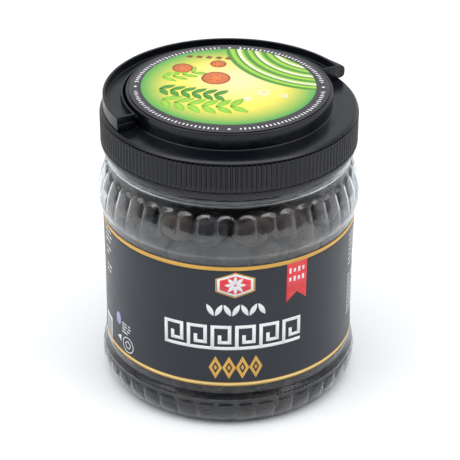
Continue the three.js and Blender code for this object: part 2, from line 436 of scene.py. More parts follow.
def mixed(tree, factor, *colours):
    """Two colours mixed by a factor."""
    first, second = (
        colour if isinstance(colour, bpy.types.NodeSocket) else (*colour, 1) for colour in colours
    )
    inputs = {"Factor": factor, 6: first, 7: second}
    return add_node(tree, "ShaderNodeMix", inputs, data_type="RGBA").outputs[2]


def set_bump(tree, shader, height, distance, strength):
    """Relief from a height value; distance is the depth in metres."""
    inputs = {"Height": height, "Distance": distance, "Strength": strength}
    set_inputs(tree, shader, {"Normal": add_node(tree, "ShaderNodeBump", inputs).outputs["Normal"]})


def scaled_colour(value, factor):
    """A colour made darker or lighter."""
    return tuple(min(part * factor, 1.0) for part in value)


def mottled(tree, colour, lift, scale, detail=3.0, most=1.0):
    """The colour, up to lift times as light in soft patches."""
    return mixed(tree, uneven(tree, scale, 0.0, most, detail), colour, scaled_colour(colour, lift))


def clear_plastic(name, colour, bend):
    """Blown clear plastic: glossy, faintly wavy, and lamps reach what is inside."""
    material, tree, shader = blank_material(name)
    squeezed = add_node(tree, "ShaderNodeMapping", {"Vector": object_place(tree), "Scale": (1, 1, 0.3)})
    tall = squeezed.outputs["Vector"]
    smudges = noise_value(tree, 170, 4.0, 0.6, tall)
    set_inputs(tree, shader, {
        "Base Color": (*colour, 1), "Roughness": spread(tree, smudges, 0.02, 0.09, 0.4, 0.75),
        "IOR": bend, "Transmission Weight": 1.0,
    })
    fine, broad = noise_value(tree, 260), noise_value(tree, 55, 1.0)
    waves = math_node(tree, "MULTIPLY_ADD", fine, 0.15, broad)
    scuffs = noise_value(tree, 1100, 3.0, 0.6, tall)
    set_bump(tree, shader, math_node(tree, "MULTIPLY_ADD", scuffs, 0.05, waves), 0.6 * MM, 0.55)
    window = add_node(tree, "ShaderNodeBsdfTransparent", {"Color": (0.86, 0.87, 0.88, 1)})
    lamp_ray = add_node(tree, "ShaderNodeLightPath").outputs["Is Shadow Ray"]
    shaders = {0: lamp_ray, 1: shader.outputs[0], 2: window.outputs[0]}
    both = add_node(tree, "ShaderNodeMixShader", shaders).outputs[0]
    set_inputs(tree, tree.nodes["Material Output"], {"Surface": both})
    return material


def moulded_plastic(name, colour, roughness):
    """Black moulded plastic with a fine grain, uneven sheen and a little dust grey."""
    material, tree, shader = blank_material(name)
    set_inputs(tree, shader, {
        "Base Color": mottled(tree, colour, 1.9, 45, 4.0, 0.35), "Specular IOR Level": 0.36,
        "Roughness": uneven(tree, 160, roughness - 0.05, roughness + 0.07),
    })
    fine, broad = noise_value(tree, 2600, 2.0), noise_value(tree, 90, 2.0)
    set_bump(tree, shader, math_node(tree, "MULTIPLY_ADD", broad, 2.0, fine), 0.03 * MM, 0.6)
    return material


def sleeve_film(settings):
    """Satin charcoal film with a slight mottle and the soft waves of a wrapped sleeve."""
    material, tree, shader = blank_material("sleeve_film")
    set_inputs(tree, shader, {
        "Base Color": mottled(tree, settings.film, 1.22, 30), "Roughness": uneven(tree, 120, 0.30, 0.38),
        "Specular IOR Level": 0.36,
    })
    waves, grain = noise_value(tree, 22, 1.0), noise_value(tree, 900, 2.0)
    set_bump(tree, shader, math_node(tree, "MULTIPLY_ADD", grain, 0.02, waves), 0.5 * MM, 0.5)
    return material


def printed_ink(name, colour, roughness, metal=0.0, lift=1.25):
    """Ink on film: a slightly uneven colour with a print grain."""
    material, tree, shader = blank_material(name)
    set_inputs(tree, shader, {
        "Base Color": mottled(tree, colour, lift, 65, 4.0), "Metallic": metal,
        "Roughness": uneven(tree, 500, roughness - 0.04, roughness + 0.06, 2.0),
    })
    set_bump(tree, shader, noise_value(tree, 1500, 2.0), 0.01 * MM, 0.4)
    return material


def olive_skin(settings):
    """Dry-salted olive skin: near black to brown by olive, wrinkled and faintly oily."""
    material, tree, shader = blank_material("olive_skin")
    tone = add_node(tree, "ShaderNodeAttribute", attribute_name="tone").outputs["Fac"]
    patches = spread(tree, noise_value(tree, 130, 4.0), 0.0, 1.0, 0.35, 0.75)
    brown = math_node(tree, "MULTIPLY", tone, math_node(tree, "MULTIPLY_ADD", patches, 0.7, 0.3))
    set_inputs(tree, shader, {
        "Base Color": mixed(tree, brown, settings.skin, settings.ripe),
        "Roughness": uneven(tree, 400, 0.38, 0.6), "Specular IOR Level": 0.42,
        "Coat Weight": 0.1, "Coat Roughness": 0.25,
    })
    folds = math_node(tree, "ABSOLUTE", math_node(tree, "SUBTRACT", noise_value(tree, 210), 0.5))
    creases = math_node(tree, "MULTIPLY_ADD", noise_value(tree, 600, 2.0), 0.06, folds)
    set_bump(tree, shader, creases, 1.6 * MM, 0.8)
    return material


def disc_print(settings):
    """A dark rim round a field that runs from pale yellow to green, with curved bands."""
    material, tree, shader = blank_material("disc_print")
    axes = add_node(tree, "ShaderNodeSeparateXYZ", {0: object_place(tree)})

    def distance_from(x, y):
        along = math_node(tree, "SUBTRACT", axes.outputs[0], x * MM)
        up = math_node(tree, "SUBTRACT", axes.outputs[1], y * MM)
        squares = math_node(tree, "MULTIPLY_ADD", up, up, math_node(tree, "MULTIPLY", along, along))
        return math_node(tree, "SQRT", squares)

    def waves(distance, pitch):
        return math_node(tree, "SINE", math_node(tree, "MULTIPLY", distance, TAU / (pitch * MM)))

    def inside(distance, radius):
        return math_node(tree, "LESS_THAN", distance, radius * MM)

    field = settings.field_radius / MM
    band_pitch = 3.9
    dark_green, lime, cream = (0.05, 0.24, 0.02), (0.30, 0.52, 0.04), (0.74, 0.74, 0.50)
    middle = distance_from(-0.3, 1.6)
    warm = spread(tree, distance_from(4, 8), 0.0, 1.0, 6 * MM, 26 * MM)
    ground = mixed(tree, warm, (0.76, 0.66, 0.33), settings.middle)
    green = spread(tree, middle, 0.0, 1.0, 24 * MM, (field - 1) * MM)
    ground = mixed(tree, green, ground, settings.edge)
    bands_from = distance_from(45, 43)
    stripe = spread(tree, waves(bands_from, band_pitch), 0.0, 1.0, -0.2, 0.2)
    crest = math_node(tree, "GREATER_THAN", waves(bands_from, 2 * band_pitch), 0.8)
    bands = mixed(tree, crest, mixed(tree, stripe, dark_green, lime), cream)
    ground = mixed(tree, inside(bands_from, 47), ground, bands)
    set_inputs(tree, shader, {
        "Base Color": mixed(tree, inside(middle, field), settings.rim, ground),
        "Roughness": uneven(tree, 300, 0.36, 0.46),
    })
    set_bump(tree, shader, noise_value(tree, 900), 0.02 * MM, 0.5)
    return material


def floor_paint(colour):
    """A pale matt floor with the faintest mottle."""
    material, tree, shader = blank_material("floor_paint")
    paint = mixed(tree, uneven(tree, 6, 0.0, 1.0), scaled_colour(colour, 0.985), colour)
    set_inputs(tree, shader, {"Base Color": paint, "Roughness": 0.9})
    return material


# The jar

def panel_radius(height):
    """Outer radius of the sleeve at a height, both in millimetres: the panel is drawn in a little."""
    reach, flare = (40, 0.45) if height > PANEL_WAIST else (22, 0.25)
    return LABEL_RADIUS / MM - 0.1 + flare * ((height - PANEL_WAIST) / reach) ** 2


def jar_outline():
    """The jar's outside from the middle of its foot to the top of its neck, in millimetres."""
    corners = [
        (0, 5.0, 0), (30, 4.3, 6), (45, 1.5, 2), (48.6, 0, 1.5), (51.4, 0, 1.5),
        (56.5, 2.8, 3.0), (59.0, 8.6, 3.0), (58.7, 12.6, 1.5), (58.3, 15.2, 0.4), (56.6, 17.9, 0.4),
    ]
    corners += [(panel_radius(height) - UNDER_SLEEVE, height, 0) for height in range(20, 77, 8)]
    corners += [
        (57.12, 83.9, 0), (57.3, 84.2, 0.1), (57.5, 87.2, 0.6), (58.5, 89.0, 0.5), (58.9, 91.0, 0.8),
        (58.9, 95.0, 2.5), (58.1, 99.4, 1.6), (56.0, 106.0, 2.0), (54.4, 110.8, 0.3),
        (55.1, 111.3, 0.3), (55.3, 112.0, 0.2), (55.1, 112.6, 0.2), (55.5, 113.1, 0.3),
        (55.5, 114.7, 0.3), (55.2, 115.15, 0.2), (55.35, 115.5, 0.2), (53.6, 116.1, 0.6),
        (53.6, 131.6, 0.6), (53.0, 132.2, 0),
    ]
    return filleted(corners, steps=3)


def jar_spacing(place):
    """Longest step along the jar's outline at a place: fine where the columns end."""
    for low, high, step in JAR_STEPS:
        if place.x > 52 and low <= place.y <= high:
            return step
    return 7.0


def column_relief(vert, settings):
    """Sinks the grooves between the columns of foot and shoulder, and rounds the columns' tops."""
    across = gathered_at_groove(vert, settings.flutes)
    height = vert.co.z / MM
    if height > JAR_MIDDLE:
        band, depth = SHOULDER_COLUMNS, settings.flute_depth
    else:
        band, depth = FOOT_COLUMNS, settings.foot_depth
    arch = band.arch - band.drop * across ** band.power
    over = smooth_step(arch, arch + band.blend, height)
    shown = smooth_step(*band.fade_in, height) * (1 - smooth_step(*band.fade_out, height))
    push_out(vert, -shown * (depth * across ** GROOVE_POWER * (1 - over) + band.step * depth * over))


class OLIVEJAR_OT_clear_jar(bpy.types.Operator):
    """Blows the clear jar with its fluted shoulder and foot"""

    bl_idname = "olivejar.clear_jar"
    bl_label = "Clear Jar"

    def execute(self, context):
        settings = context.scene.olivejar_jar
        bm = spun(resampled(jar_outline(), jar_spacing), FLUTE_COLUMNS * settings.flutes)
        for vert in bm.verts:
            column_relief(vert, settings)
        plastic = clear_plastic("clear_plastic", settings.plastic, 1.5)
        made = piece("clear_jar", bm, plastic, replaces=["jar"], sharp=60)
        # Painted shade: faces below FOOT_TOP get a darker tinted plastic with a lower IOR, so the foot
        # reads darker
        made.data.materials.append(clear_plastic("painted_shade_foot_plastic", settings.painted_shade_foot_plastic, 1.4))
        for face in made.data.polygons:
            face.material_index = int(face.center.z < FOOT_TOP * MM)
        give_wall(made, settings.wall, -1)
        return {"FINISHED"}


# The olives

def settled(places, sizes, outline, wall):
    """Moves the olives apart and keeps them inside the wall."""
    for _ in range(60):
        for first in range(len(places)):
            for second in range(first + 1, len(places)):
                apart = places[second] - places[first]
                room = 0.46 * (sizes[first] + sizes[second])
                if 0 < apart.length < room:
                    push = apart.normalized() * (room - apart.length) * 0.5
                    places[first] -= push
                    places[second] += push
        for index, place in enumerate(places):
            across = math.hypot(place.x, place.y)
            limit = radius_at(outline, place.z) - wall - sizes[index] / 2 + PRESSED
            if across > limit:
                place.x *= limit / across
                place.y *= limit / across
            low, high = FOOT_OLIVES if place.z < JAR_MIDDLE else UPPER_OLIVES
            place.z = min(max(place.z, low), high)


def add_olive(bm, tone_layer, place, size, limits, draw):
    """One wrinkled olive, its long axis mostly along the wall and its outer side pressed flat."""
    width, long = size
    made = bmesh.ops.create_icosphere(bm, subdivisions=3, radius=0.5)["verts"]
    shift = Vector((draw.uniform(0, 90), draw.uniform(0, 90), draw.uniform(0, 90)))
    blunt = draw.uniform(-0.08, 0.12)
    wrinkled = draw.uniform(0.5, 1.0)
    for vert in made:
        spot = vert.co.copy()
        folds = noise.noise(spot * 4.2 + shift) * 0.09 + noise.noise(spot * 9.0 + shift) * 0.05
        creases = -abs(noise.noise(spot * 6.5 - shift)) * 0.2
        vert.co *= 1 + wrinkled * (folds + creases)
        vert.co.xy *= 1 + blunt * spot.z
    angle = math.atan2(place.y, place.x)
    tilt = draw.gauss(math.pi / 2, 0.5)
    turn = Matrix.Rotation(angle, 4, "Z") @ Matrix.Rotation(draw.gauss(0, 0.3), 4, "Y")
    scale = Matrix.Diagonal((width * MM, width * MM, long * MM, 1))
    turn = turn @ Matrix.Rotation(tilt, 4, "X") @ scale
    bmesh.ops.transform(bm, matrix=Matrix.Translation(place * MM) @ turn, verts=made)
    tone = draw.random() ** (2.6 if place.z > JAR_MIDDLE else 1.6)
    for vert in made:
        vert[tone_layer] = tone
        vert.co.z = max(vert.co.z, 1.2 * MM)
        limit = limits[round(vert.co.z / MM)] * MM
        push_out(vert, min(0.0, limit - math.hypot(vert.co.x, vert.co.y)))


class OLIVEJAR_OT_olives(bpy.types.Operator):
    """Fills the jar with wrinkled black olives round a dark core"""

    bl_idname = "olivejar.olives"
    bl_label = "Olives"

    def execute(self, context):
        settings = context.scene.olivejar_olives
        jar = context.scene.olivejar_jar
        draw = random.Random(settings.seed)
        outline = jar_outline()
        wall = (jar.wall + jar.flute_depth) / MM + 0.2
        places, sizes = [], []
        for radius, height, count in OLIVE_RINGS:
            shift = draw.random()
            for index in range(count):
                angle = (index + shift + draw.uniform(-0.18, 0.18)) * TAU / count
                spot = (*beside(0, 0, radius, angle), height + draw.uniform(-2.5, 2.5))
                places.append(Vector(spot))
                sizes.append(settings.width / MM * draw.uniform(0.88, 1.1))
        settled(places, sizes, outline, wall)
        bm = spun(resampled(filleted(CORE_OUTLINE), lambda place: 2.6), CORE_COLUMNS)
        tone_layer = bm.verts.layers.float.new("tone")
        for vert in bm.verts:
            lump = abs(noise.noise(vert.co * 70)) + 0.3 * noise.noise(vert.co * 210)
            push_out(vert, min(0.0, lump - 0.45) * (1.0 if vert.co.z < 6 * MM else 5.0) * MM)
            if vert.co.z < 20 * MM:
                vert[tone_layer] = smooth_step(0.1, 0.35, noise.noise(vert.co * 55))
        slender = settings.length / settings.width
        limits = [radius_at(outline, height) - wall for height in range(120)]
        for place, size in zip(places, sizes):
            long = size * slender * draw.uniform(0.92, 1.06)
            add_olive(bm, tone_layer, place, (size, long), limits, draw)
        piece("black_olives", bm, olive_skin(settings), replaces=["olives"])
        return {"FINISHED"}


# The sleeve and its print

def wrap_on_sleeve(bm, lift):
    """Bends flat shapes, x round the sleeve and z up, on to it; lift is how far off the film."""
    xs = [vert.co.x for vert in bm.verts]
    step = 1.6 * MM
    first = math.ceil(min(xs) / step)
    last = math.floor(max(xs) / step)
    for index in range(first, last + 1):
        whole = bm.verts[:] + bm.edges[:] + bm.faces[:]
        bmesh.ops.bisect_plane(bm, geom=whole, plane_co=(index * step, 0, 0), plane_no=(1, 0, 0))
    for vert in bm.verts:
        radius = (panel_radius(vert.co.z / MM) + lift) * MM
        vert.co.xy = beside(0, 0, radius, FRONT + vert.co.x / LABEL_RADIUS)
    turn_faces(bm, lambda middle: Vector((middle.x, middle.y, 0)))


def upright(x, z, turn, width, height):
    """Places a flat shape made in XY on the XZ plane, in millimetres, turned in that plane."""
    move = Matrix.Translation((x * MM, 0, z * MM))
    stand = Matrix.Rotation(math.pi / 2, 4, "X")
    scale = Matrix.Diagonal((width * MM, height * MM, 1, 1))
    return move @ stand @ Matrix.Rotation(turn, 4, "Z") @ scale


def flat_bar(bm, x, z, width, height, turn=0.0):
    """A filled rectangle about its middle."""
    place = upright(x, z, turn, width, height)
    return bmesh.ops.create_grid(bm, x_segments=1, y_segments=1, size=0.5, matrix=place)["verts"]


def flat_round(bm, x, z, width, height, sides=24, turn=0.0):
    """A filled ellipse or polygon about its middle."""
    place = upright(x, z, turn, width, height)
    return bmesh.ops.create_circle(bm, cap_ends=True, segments=sides, radius=0.5, matrix=place)["verts"]


def flat_ring(bm, x, z, width, height, stroke, sides):
    """The outline of an ellipse or polygon, with an even stroke."""
    made = flat_round(bm, x, z, width, height, sides)
    faces = list({face for vert in made for face in vert.link_faces})
    bmesh.ops.recalc_face_normals(bm, faces=faces)
    bm.normal_update()
    thickness = stroke * MM
    bmesh.ops.inset_region(bm, faces=faces, thickness=thickness, use_boundary=True, use_even_offset=True)
    bmesh.ops.delete(bm, geom=faces, context="FACES")


def flat_leaf(bm, x, z, long, wide, turn=0.0):
    """A pointed leaf: an ellipse whose ends are drawn out."""
    made = bmesh.ops.create_circle(bm, cap_ends=True, segments=20, radius=0.5)["verts"]
    for vert in made:
        vert.co.y *= (1 - (2 * vert.co.x) ** 2 * 0.55) * wide / long
    place = upright(x, z, turn, long, long)
    bmesh.ops.transform(bm, matrix=place, verts=made)


def key_frieze(bm, left, low, units, pitch, height, stroke):
    """A running key border: hooks on a base line."""
    long = units * pitch - stroke
    flat_bar(bm, left + long / 2, low + stroke / 2, long, stroke)
    hook = pitch - 2.0 * stroke
    for index in range(units):
        start = left + index * pitch + stroke / 2
        flat_bar(bm, start, low + height / 2, stroke, height)
        flat_bar(bm, start + hook / 2, low + height - stroke / 2, hook, stroke)
        flat_bar(bm, start + hook, low + height * 0.62, stroke, height * 0.76)
        flat_bar(bm, start + hook * 0.68, low + height * 0.24 + stroke / 2, hook * 0.64, stroke)
        flat_bar(bm, start + hook * 0.42, low + height * 0.42, stroke, height * 0.36)


def leaf_row(bm, left, middle, count, pitch, long):
    """A row of slanting leaves, alternate ones the other way."""
    for index in range(count):
        turn = math.radians(62 if index % 2 else 118)
        flat_leaf(bm, left + (index + 0.5) * pitch, middle, long, long * 0.36, turn)


def flat_frame(bm, x, z, width, height, stroke):
    """The outline of a rectangle, as four bars."""
    for side in (-0.5, 0.5):
        flat_bar(bm, x, z + side * height, width + stroke, stroke)
        flat_bar(bm, x + side * width, z, stroke, height)


def lozenge_row(bm, left, middle, count, pitch, height, stroke):
    """Outlined lozenges, each round a small one."""
    for index in range(count):
        x = left + (index + 0.5) * pitch
        flat_ring(bm, x, middle, pitch * 1.02, height, stroke, 4)
        flat_round(bm, x, middle, pitch * 0.26, height * 0.24, 4)


def line_block(bm, left, high, width, lines, pitch, stroke, draw):
    """Lines of short dashes of uneven length, like a block of small print."""
    for index in range(lines):
        z = high - index * pitch
        x = left
        end = left + width * (draw.uniform(0.45, 0.8) if index == lines - 1 else draw.uniform(0.9, 1.0))
        while x < end:
            dash = min(draw.uniform(1.6, 5.0), end - x)
            if dash > 0.5:
                flat_bar(bm, x + dash / 2, z, dash, stroke)
            x += dash + 0.8


def white_print(bm, draw):
    """All that is printed white: frieze, leaves, side marks and the back's small print."""
    key_frieze(bm, -29.4, 40.9, 6, 10.8, 12.6, 1.6)
    leaf_row(bm, -9.9, 61.4, 7, 3.8, 6.6)
    flat_bar(bm, -73, 27.6, 9, 13.4)
    flat_ring(bm, *SEAL, 8.4, 8.0, 0.45, 28)
    flat_ring(bm, *SEAL, 4.6, 4.4, 0.45, 5)
    flat_round(bm, -59.4, 29.6, 4.2, 4.6, 3, math.pi / 2)
    flat_frame(bm, -100, 38, 36, 22, 0.4)
    for block in SMALL_PRINT:
        line_block(bm, *block, draw)
    for index in range(9):
        flat_bar(bm, 138, 56.0 - index * 3.0, 40, 0.3)
    for x in (118, 138, 158):
        flat_bar(bm, x, 44.0, 0.3, 24.3)


def rosette(bm, x, z, size, petals):
    """Petals round a middle."""
    for index in range(petals):
        turn = index * TAU / petals
        flat_leaf(bm, *beside(x, z, size * 0.30, turn), size * 0.5, size * 0.2, turn)


def swallow_tail(bm, left, high, width, drop, notch):
    """A hanging ribbon with a notched end."""
    middle = left + width / 2
    flat_bar(bm, middle, high - drop / 2, width, drop)
    for side in (-1, 1):
        made = flat_bar(bm, middle + side * width / 4, high - drop - notch / 2, width / 2, notch)
        for vert in made:
            if abs(vert.co.x - middle * MM) < 0.01 * MM and vert.co.z < (high - drop - 0.1) * MM:
                vert.co.z += notch * MM * 0.999


def ribbon_marks(bm, left, high):
    """Two rows of short white strokes on the ribbon."""
    for row, heights in enumerate(((2.6, 1.9, 2.6, 1.9), (1.9, 2.6, 1.9, 2.6))):
        for column, tall in enumerate(heights):
            flat_bar(bm, left + 1.7 + column * 2.2, high - 3.9 - row * 4.4, 1.1, tall)


class OLIVEJAR_OT_sleeve(bpy.types.Operator):
    """Wraps the printed sleeve round the jar, with its overlap at the back"""

    bl_idname = "olivejar.sleeve"
    bl_label = "Sleeve"

    def execute(self, context):
        settings = context.scene.olivejar_sleeve
        low, high = settings.low / MM, settings.high / MM
        rows = 16
        heights = [low + (high - low) * row / rows for row in range(rows + 1)]
        outline = [(panel_radius(height) - 0.12, height) for height in heights]
        overlap = math.radians(7)
        bm = swept(outline, SLEEVE_COLUMNS, FRONT + math.pi, TAU + overlap)
        film = sleeve_film(settings)
        made = piece("sleeve", bm, film, replaces=["label"], sharp=60)
        give_wall(made, 0.1 * MM, 1)
        return {"FINISHED"}


class OLIVEJAR_OT_sleeve_print(bpy.types.Operator):
    """Prints the sleeve: gold lines, frieze, plaque, ribbon and small print"""

    bl_idname = "olivejar.sleeve_print"
    bl_label = "Sleeve Print"

    def execute(self, context):
        settings = context.scene.olivejar_sleeve
        draw = random.Random(5)
        white_ink = printed_ink("white_ink", settings.white, 0.42, lift=1.1)
        gold_ink = printed_ink("gold_ink", settings.gold, 0.36, 0.2, 1.3)
        pale_ink = printed_ink("pale_gold_ink", (0.80, 0.66, 0.32), 0.36, 0.1, 1.1)
        red_ink = printed_ink("red_ink", settings.red, 0.4)
        violet_ink = printed_ink("violet_ink", (0.42, 0.38, 0.66), 0.4)
        dark_ink = printed_ink("dark_ink", settings.film, 0.4)
        white, red, gold, pale, marks, violet, dark = (bmesh.new() for _ in range(7))
        white_print(white, draw)
        flat_round(white, *PLAQUE, 18.4, 11.6, 6)
        flat_round(red, *PLAQUE, 15.6, 9.4, 6)
        swallow_tail(red, *RIBBON, 10.3, 15.2, 4.4)
        around = TAU * LABEL_RADIUS / MM - 0.02
        for height in GOLD_LINES:
            flat_bar(gold, 0, height, around, 1.9)
        lozenge_row(gold, -8.6, 31.6, 4, 6.0, 11.8, 1.35)
        flat_ring(gold, *PLAQUE, 20.0, 13.0, 0.5, 6)
        rosette(marks, *PLAQUE, 8.4, 8)
        ribbon_marks(marks, *RIBBON)
        flat_round(violet, -60.4, 39.2, 4.6, 6.4)
        for index in range(14):
            x = -76.4 + index * 0.52 + draw.uniform(-0.1, 0.1)
            flat_bar(dark, x, 28.4, draw.uniform(0.16, 0.36), 9.0)
        flat_bar(pale, 0, 22.95, around, 0.75)
        prints = (
            ("white_print", white, white_ink, 0.03), ("red_print", red, red_ink, 0.05),
            ("gold_print", gold, gold_ink, 0.06), ("pale_gold_print", pale, pale_ink, 0.08),
            ("white_marks", marks, white_ink, 0.08), ("violet_print", violet, violet_ink, 0.05),
            ("dark_print", dark, dark_ink, 0.05),
        )
        for name, bm, ink, lift in prints:
            wrap_on_sleeve(bm, lift)
            give_wall(piece(name, bm, ink), 0.02 * MM, 1)
        return {"FINISHED"}


# The cap

def cap_outline():
    """The cap's section from under its middle, out, up and over to the middle of its top."""
    return filleted([
        (0, 140.0, 0), (44.0, 140.0, 0), (44.0, 132.5, 0), (55.3, 132.5, 0), (55.3, 116.0, 0),
        (56.7, 116.0, 0.4), (57.4, 118.2, 0.5), (57.4, 119.1, 0), (57.32, 119.15, 0), (57.32, 119.4, 0),
        (57.05, 119.45, 0), (57.0, 123.6, 0), (57.02, 124.8, 0), (57.02, 132.2, 0), (56.3, 132.4, 0.1),
        (56.3, 132.8, 0.1), (57.05, 132.95, 0.15), (57.05, 133.2, 0.3), (56.1, 134.1, 0.4),
        (45.9, 134.1, 0.6), (45.7, 141.6, 0.6), (44.7, 141.6, 0.2), (44.4, 141.5, 0.1), (0, 141.5, 0),
    ])


def cap_spacing(place):
    """Longest step along the cap's outline at a place: fine on the ribs."""
    return 1.4 if place.x > 56.5 and 119.6 < place.y < 132.8 else 6.0


def rib_relief(vert, settings):
    """Raises the finger ribs, and the bridges across the tear line."""
    height = vert.co.z / MM
    if math.hypot(vert.co.x, vert.co.y) < SKIRT_RADIUS * MM:
        return
    ribs_round = math.atan2(vert.co.y, vert.co.x) / TAU * settings.ribs
    tear_low, ribs_low = TEAR_LINE
    if tear_low < height < ribs_low:
        if ribs_round % TEAR_BRIDGE_PITCH < 1:
            push_out(vert, 0.1 * MM)
    elif ribs_low < height < RIBS_TOP:
        crest = smooth_step(-1.0, 0.85, math.cos(TAU * ribs_round))
        push_out(vert, settings.rib_depth * (crest - 0.5) * smooth_step(119.4, 120.2, height))


class OLIVEJAR_OT_cap(bpy.types.Operator):
    """Moulds the ribbed black screw cap"""

    bl_idname = "olivejar.cap"
    bl_label = "Cap"

    def execute(self, context):
        settings = context.scene.olivejar_cap
        bm = spun(resampled(cap_outline(), cap_spacing), RIB_COLUMNS * settings.ribs)
        for vert in bm.verts:
            rib_relief(vert, settings)
        plastic = moulded_plastic("cap_plastic", settings.plastic, 0.22)
        piece("screw_cap", bm, plastic, replaces=["cap"], sharp=50)
        return {"FINISHED"}


def lay_on_disc(bm, lift):
    """Lays upright flat shapes down on the disc, raised from it by the lift."""
    bmesh.ops.rotate(bm, verts=bm.verts, cent=(0, 0, 0), matrix=Matrix.Rotation(-math.pi / 2, 3, "X"))
    bmesh.ops.translate(bm, verts=bm.verts, vec=(0, 0, DISC_TOP + lift * MM))
    turn_faces(bm, lambda middle: Vector((0, 0, 1)))


def rim_marks(bm, radius, gap):
    """Short strokes of uneven height round the rim, in four groups with a lozenge between them."""
    strokes = 30
    group = TAU / 4
    for side in range(4):
        start = side * group + gap
        for index in range(strokes):
            angle = start + (group - 2 * gap) * index / (strokes - 1)
            tall = 1.3 + 0.7 * math.sin(index * 1.9) ** 2
            flat_bar(bm, *beside(0, 0, radius, angle), tall, 0.75, angle)
        flat_round(bm, *beside(0, 0, radius, side * group), 1.8, 1.8, 4, side * group)


def sprig(leaves, x, z, turn, count, long, bend):
    """Leaves in pairs along a bent twig."""
    for index in range(count):
        x, z = beside(x, z, 0.62 * long, turn)
        turn += bend
        for lean in (turn - 0.8, turn + 0.8):
            flat_leaf(leaves, *beside(x, z, 0.45 * long, lean), long, 0.42 * long, lean)


def disc_picture():
    """The disc's motifs by ink: sprigs, discs, small marks and rim strokes."""
    leaves, dark_leaves, clay, ember, pale = (bmesh.new() for _ in range(5))
    sprig(leaves, -34, -9, -0.62, 6, 10.0, 0.13)
    sprig(dark_leaves, -35, 0, -0.35, 6, 8.0, 0.03)
    sprig(leaves, -34, 9, 0.1, 4, 7.5, 0.14)
    for x, z, size in ((-6, 9, 13), (-21, 19.5, 9.5), (-5, 24, 7.5)):
        flat_round(clay, x, z, size, size, 28)
        flat_ring(ember, x, z, size * 0.98, size * 0.98, 0.6, 28)
        for index in range(5):
            flat_round(ember, *beside(x, z, 0.22 * size, index * TAU / 5), 0.9, 0.9, 8)
    for index in range(5):
        flat_round(ember, -18 + 4.4 * index, 32 - 0.5 * index, 3.6, 3.2, 4, 0.3)
    for x, z, size in ((15, -6, 5.0), (24, -9, 3.4), (8, -12, 3.4)):
        flat_ring(pale, x, z, size, size, 0.7, 20)
    rim_marks(pale, 41.4, 0.12)
    return leaves, dark_leaves, clay, ember, pale


class OLIVEJAR_OT_disc_print(bpy.types.Operator):
    """Prints the disc: sprigs, clay-red discs, rings and the strokes round its rim"""

    bl_idname = "olivejar.disc_print"
    bl_label = "Disc Print"

    def execute(self, context):
        inks = (
            ("disc_leaves", (0.24, 0.50, 0.03)), ("disc_dark_leaves", (0.06, 0.25, 0.02)),
            ("disc_clay", (0.58, 0.15, 0.03)), ("disc_ember", (0.26, 0.045, 0.02)),
            ("disc_pale_marks", (0.72, 0.70, 0.74)),
        )
        for level, ((name, colour), bm) in enumerate(zip(inks, disc_picture())):
            lay_on_disc(bm, 0.01 + 0.012 * level)
            ink = printed_ink(name, colour, 0.42)
            give_wall(piece(name, bm, ink), 0.01 * MM, 1)
        return {"FINISHED"}


class OLIVEJAR_OT_disc(bpy.types.Operator):
    """Lays the printed disc on the cap's raised centre"""

    bl_idname = "olivejar.disc"
    bl_label = "Printed Disc"

    def execute(self, context):
        settings = context.scene.olivejar_disc
        radius = settings.radius / MM
        top = DISC_TOP / MM
        low = top - 0.3
        corners = ((0, low), (radius - 0.1, low), (radius, top - 0.12), (radius - 0.1, top), (0, top))
        bm = spun(resampled([Vector(corner) for corner in corners], lambda place: 6.0), DISC_COLUMNS)
        paper = disc_print(settings)
        piece("printed_disc", bm, paper, replaces=["cap_disc"], sharp=60)
        return {"FINISHED"}


# The handle

def handle_blocks(bm):
    """End walls, blocks under the floor and hinge pins at both ends, hinge line along X."""
    under_floor = (1.8, 135.5, (8.8, 5.2, 2.2))
    stepped_wall = [(-1.2, 138.9, (9.0, 1.0, 3.4)), (-1.28, 135.8, (9.0, 1.2, 2.8)), under_floor]
    plain_wall = [(-1.2, 137.5, (9.0, 1.0, 6.2)), under_floor]
    for side, blocks in ((-1, stepped_wall), (1, plain_wall)):
        for y, z, size in blocks:
            stretch = Matrix.Diagonal((*(part * MM for part in size), 1))
            place = Matrix.Translation(Vector((side * CHANNEL_MIDDLE, y, z)) * MM) @ stretch
            made = bmesh.ops.create_cube(bm, size=1, matrix=place)["verts"]
            edges = list({edge for vert in made for edge in vert.link_edges})
            bmesh.ops.bevel(bm, geom=edges, offset=0.2 * MM, segments=2, profile=0.5, affect="EDGES")
        place = Matrix.Translation((side * PIN_MIDDLE * MM, 0, HINGE_HEIGHT))
        place @= Matrix.Rotation(math.pi / 2, 4, "Y")
        bmesh.ops.create_cone(
            bm, cap_ends=True, segments=24, radius1=1.6 * MM, radius2=1.6 * MM, depth=3.6 * MM,
            matrix=place,
        )


def finger_tab(bm):
    """Swells the outer wall outwards at one end of the handle."""
    inner_radius, reach = 55.4, 3.0
    middle, half_height = 137.4, 3.3
    for vert in bm.verts:
        along = math.degrees(math.atan2(vert.co.y, vert.co.x))
        if math.hypot(vert.co.x, vert.co.y) > inner_radius * MM and abs(along) < 20:
            fall = 1 - smooth_step(-1, 8, along)
            off_middle = (vert.co.z / MM - middle) / half_height
            push_out(vert, reach * MM * fall * (1 - 0.8 * off_middle ** 4))


